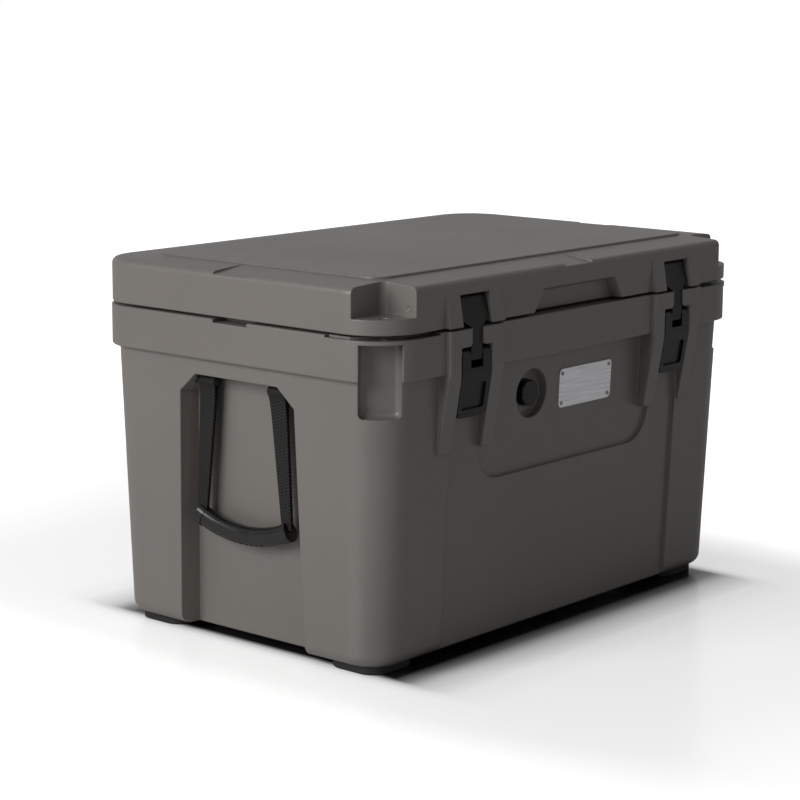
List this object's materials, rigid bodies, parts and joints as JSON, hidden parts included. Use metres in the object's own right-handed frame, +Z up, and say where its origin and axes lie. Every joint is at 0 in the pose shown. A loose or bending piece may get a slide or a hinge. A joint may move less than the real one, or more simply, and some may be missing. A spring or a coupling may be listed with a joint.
{
  "type": "hard-sided ice cooler",
  "caption": "Rotomoulded ice chest with a hinged gasketed lid, over-centre draw latches, webbing carry handles, a vent knob and a drain plug, standing on rubber feet.",
  "frame": {"origin": "middle of the footprint on the floor, between the front ribs and the hinge barrels", "axes": "+X along the length to the drain end, -Y out of the latched front, +Z up"},
  "size_m": [0.702, 0.465, 0.441],
  "materials": {
    "body": "rotomoulded plastic, warm grey, satin",
    "lid": "rotomoulded plastic, warm grey, satin",
    "foam": "foamed in place",
    "steel": "drawn pin or screw",
    "rubber": "moulded, dull",
    "latch": "moulded, fine grain",
    "webbing": "woven, narrow ribs",
    "grip": "moulded, satin",
    "plate": "brushed lengthwise, bare",
    "fitting": "moulded, satin"
  },
  "bodies": {
    "base": {"body_foam": "foam", "body_liner": "body", "drain_bush": "fitting", "foot_back_left": "rubber", "foot_back_right": "rubber", "foot_front_left": "rubber", "foot_front_right": "rubber", "foot_screw_back_left": "steel", "foot_screw_back_right": "steel", "foot_screw_front_left": "steel", "foot_screw_front_right": "steel", "handle_rod_left_back": "grip", "handle_rod_left_front": "grip", "handle_rod_right_back": "grip", "handle_rod_right_front": "grip", "hinge_pin_left": "steel", "hinge_pin_right": "steel", "lever_pin_left_inner": "steel", "lever_pin_left_outer": "steel", "lever_pin_right_inner": "steel", "lever_pin_right_outer": "steel", "name_plate": "plate", "plate_rivet_left_high": "plate", "plate_rivet_left_low": "plate", "plate_rivet_right_high": "plate", "plate_rivet_right_low": "plate", "shell_back": "body", "shell_floor": "body", "shell_front": "body", "shell_left": "body", "shell_right": "body", "valve_bush": "fitting"},
    "lid": {"lid_shell": "lid", "lid_pan": "lid", "lid_foam": "foam", "lid_gasket": "rubber", "latch_pin_left": "steel", "latch_pin_right": "steel"},
    "strap_left": {"latch_strap_left": "rubber"},
    "strap_right": {"latch_strap_right": "rubber"},
    "lever_left": {"latch_lever_left": "latch"},
    "lever_right": {"latch_lever_right": "latch"},
    "handle_left": {"handle_web_left_front": "webbing", "handle_web_left_back": "webbing", "handle_grip_left": "grip"},
    "handle_right": {"handle_web_right_front": "webbing", "handle_web_right_back": "webbing", "handle_grip_right": "grip"},
    "drain_slider": {"drain_seal": "rubber"},
    "drain_turner": {"drain_plug": "fitting"},
    "valve_slider": {"valve_seal": "rubber"},
    "valve_turner": {"valve_knob": "fitting"}
  },
  "joints": [
    {"name": "lid_hinge", "type": "hinge", "parent": "base", "child": "lid", "pos_m": [0, 0.2255, 0.383], "axis": [-1, 0, 0], "range_deg": [0, 95]},
    {"name": "strap_left_swing", "type": "hinge", "parent": "lid", "child": "strap_left", "pos_m": [-0.1975, -0.2154, 0.4108], "axis": [-1, 0, 0], "range_deg": [0, 65]},
    {"name": "lever_left_swing", "type": "hinge", "parent": "base", "child": "lever_left", "pos_m": [-0.1975, -0.223, 0.3505], "axis": [-1, 0, 0], "range_deg": [0, 95]},
    {"name": "handle_left_swing", "type": "hinge", "parent": "base", "child": "handle_left", "pos_m": [-0.32826, 0, 0.305], "axis": [0, 1, 0], "range_deg": [0, 95]},
    {"name": "strap_right_swing", "type": "hinge", "parent": "lid", "child": "strap_right", "pos_m": [0.1975, -0.2154, 0.4108], "axis": [-1, 0, 0], "range_deg": [0, 65]},
    {"name": "lever_right_swing", "type": "hinge", "parent": "base", "child": "lever_right", "pos_m": [0.1975, -0.223, 0.3505], "axis": [-1, 0, 0], "range_deg": [0, 95]},
    {"name": "handle_right_swing", "type": "hinge", "parent": "base", "child": "handle_right", "pos_m": [0.32826, 0, 0.305], "axis": [0, -1, 0], "range_deg": [0, 95]},
    {"name": "drain_travel", "type": "slide", "parent": "base", "child": "drain_slider", "axis": [1, 0, 0], "range_m": [0, 0.012]},
    {"name": "drain_turn", "type": "hinge", "parent": "drain_slider", "child": "drain_turner", "pos_m": [0.315, 0, 0.077], "axis": [1, 0, 0], "range_deg": [0, 1080]},
    {"name": "valve_travel", "type": "slide", "parent": "base", "child": "valve_slider", "axis": [0, -1, 0], "range_m": [0, 0.002]},
    {"name": "valve_turn", "type": "hinge", "parent": "valve_slider", "child": "valve_turner", "pos_m": [-0.066, -0.205, 0.287], "axis": [0, -1, 0], "range_deg": [0, 180]}
  ],
  "couplings": [
    {"joint": "drain_travel", "follows": "drain_turn", "m_per_rad": 0.00063656},
    {"joint": "valve_travel", "follows": "valve_turn", "m_per_rad": 0.00063656}
  ]
}
